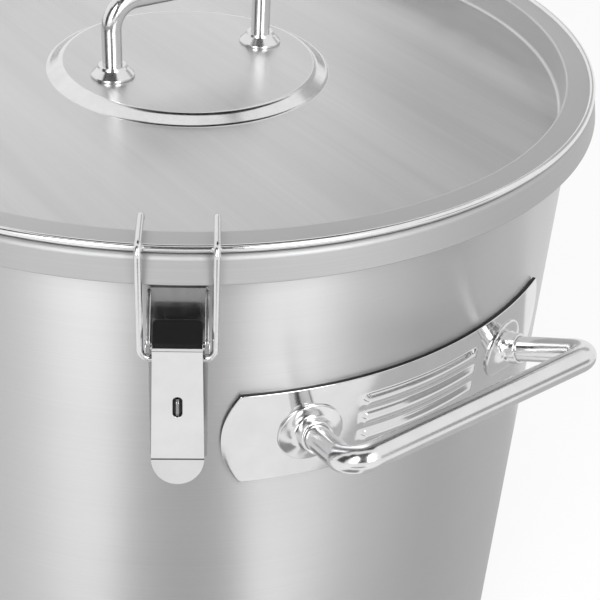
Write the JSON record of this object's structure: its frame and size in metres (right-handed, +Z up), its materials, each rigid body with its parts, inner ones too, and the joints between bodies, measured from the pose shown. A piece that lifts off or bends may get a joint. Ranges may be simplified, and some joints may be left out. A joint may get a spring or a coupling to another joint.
{
  "type": "lidded stock pot",
  "caption": "Tall round stainless pot with a recessed lid clamped by wire toggle latches, a turned-down rim band and bar handles on curved plates.",
  "frame": {"origin": "middle of the base, on the floor", "axes": "+Z up along the pot's axis, +X through the near handle, +Y to its left as seen from outside"},
  "size_m": [0.4874, 0.4322, 0.434],
  "materials": {
    "pot_steel": "brushed round the wall",
    "lid_steel": "straight brushed satin",
    "plate_steel": "polished",
    "rod_steel": "mirror polished",
    "latch_steel": "bright polished",
    "fastener_steel": "bright",
    "gasket": "matte"
  },
  "bodies": {
    "pot": {"pot_shell": "pot_steel", "lid": "lid_steel", "lid_gasket": "gasket", "lid_grip": "rod_steel", "lid_grip_ferrules": "rod_steel", "lid_grip_washers": "fastener_steel", "lid_grip_screws": "fastener_steel", "near_handle_plate": "plate_steel", "near_handle_bar": "rod_steel", "near_handle_ferrules": "rod_steel", "far_handle_plate": "plate_steel", "far_handle_bar": "rod_steel", "far_handle_ferrules": "rod_steel", "latch_bracket_1": "latch_steel", "latch_bracket_2": "latch_steel", "latch_bracket_3": "latch_steel", "latch_pin_1": "fastener_steel", "latch_pin_2": "fastener_steel", "latch_pin_3": "fastener_steel"},
    "lever_1": {"latch_lever_1": "latch_steel"},
    "bail_1": {"latch_bail_1": "rod_steel"},
    "lever_2": {"latch_lever_2": "latch_steel"},
    "bail_2": {"latch_bail_2": "rod_steel"},
    "lever_3": {"latch_lever_3": "latch_steel"},
    "bail_3": {"latch_bail_3": "rod_steel"}
  },
  "joints": [
    {"name": "lever_1_open", "type": "hinge", "parent": "pot", "child": "lever_1", "pos_m": [0.17881, -0.11657, 0.3607], "axis": [-0.5461, -0.8377, 0], "range_deg": [0, 150]},
    {"name": "bail_1_swing", "type": "hinge", "parent": "lever_1", "child": "bail_1", "pos_m": [0.17814, -0.11613, 0.3542], "axis": [-0.5461, -0.8377, 0], "range_deg": [-240, 0]},
    {"name": "lever_2_open", "type": "hinge", "parent": "pot", "child": "lever_2", "pos_m": [0, 0.21345, 0.3607], "axis": [1, 0, 0], "range_deg": [0, 150]},
    {"name": "bail_2_swing", "type": "hinge", "parent": "lever_2", "child": "bail_2", "pos_m": [0, 0.21265, 0.3542], "axis": [1, 0, 0], "range_deg": [-240, 0]},
    {"name": "lever_3_open", "type": "hinge", "parent": "pot", "child": "lever_3", "pos_m": [-0.17881, -0.11657, 0.3607], "axis": [-0.5461, 0.8377, 0], "range_deg": [0, 150]},
    {"name": "bail_3_swing", "type": "hinge", "parent": "lever_3", "child": "bail_3", "pos_m": [-0.17814, -0.11613, 0.3542], "axis": [-0.5461, 0.8377, 0], "range_deg": [-240, 0]}
  ],
  "couplings": [
    {"joint": "bail_1_swing", "follows": "lever_1_open", "ratio": -1.6},
    {"joint": "bail_2_swing", "follows": "lever_2_open", "ratio": -1.6},
    {"joint": "bail_3_swing", "follows": "lever_3_open", "ratio": -1.6}
  ]
}
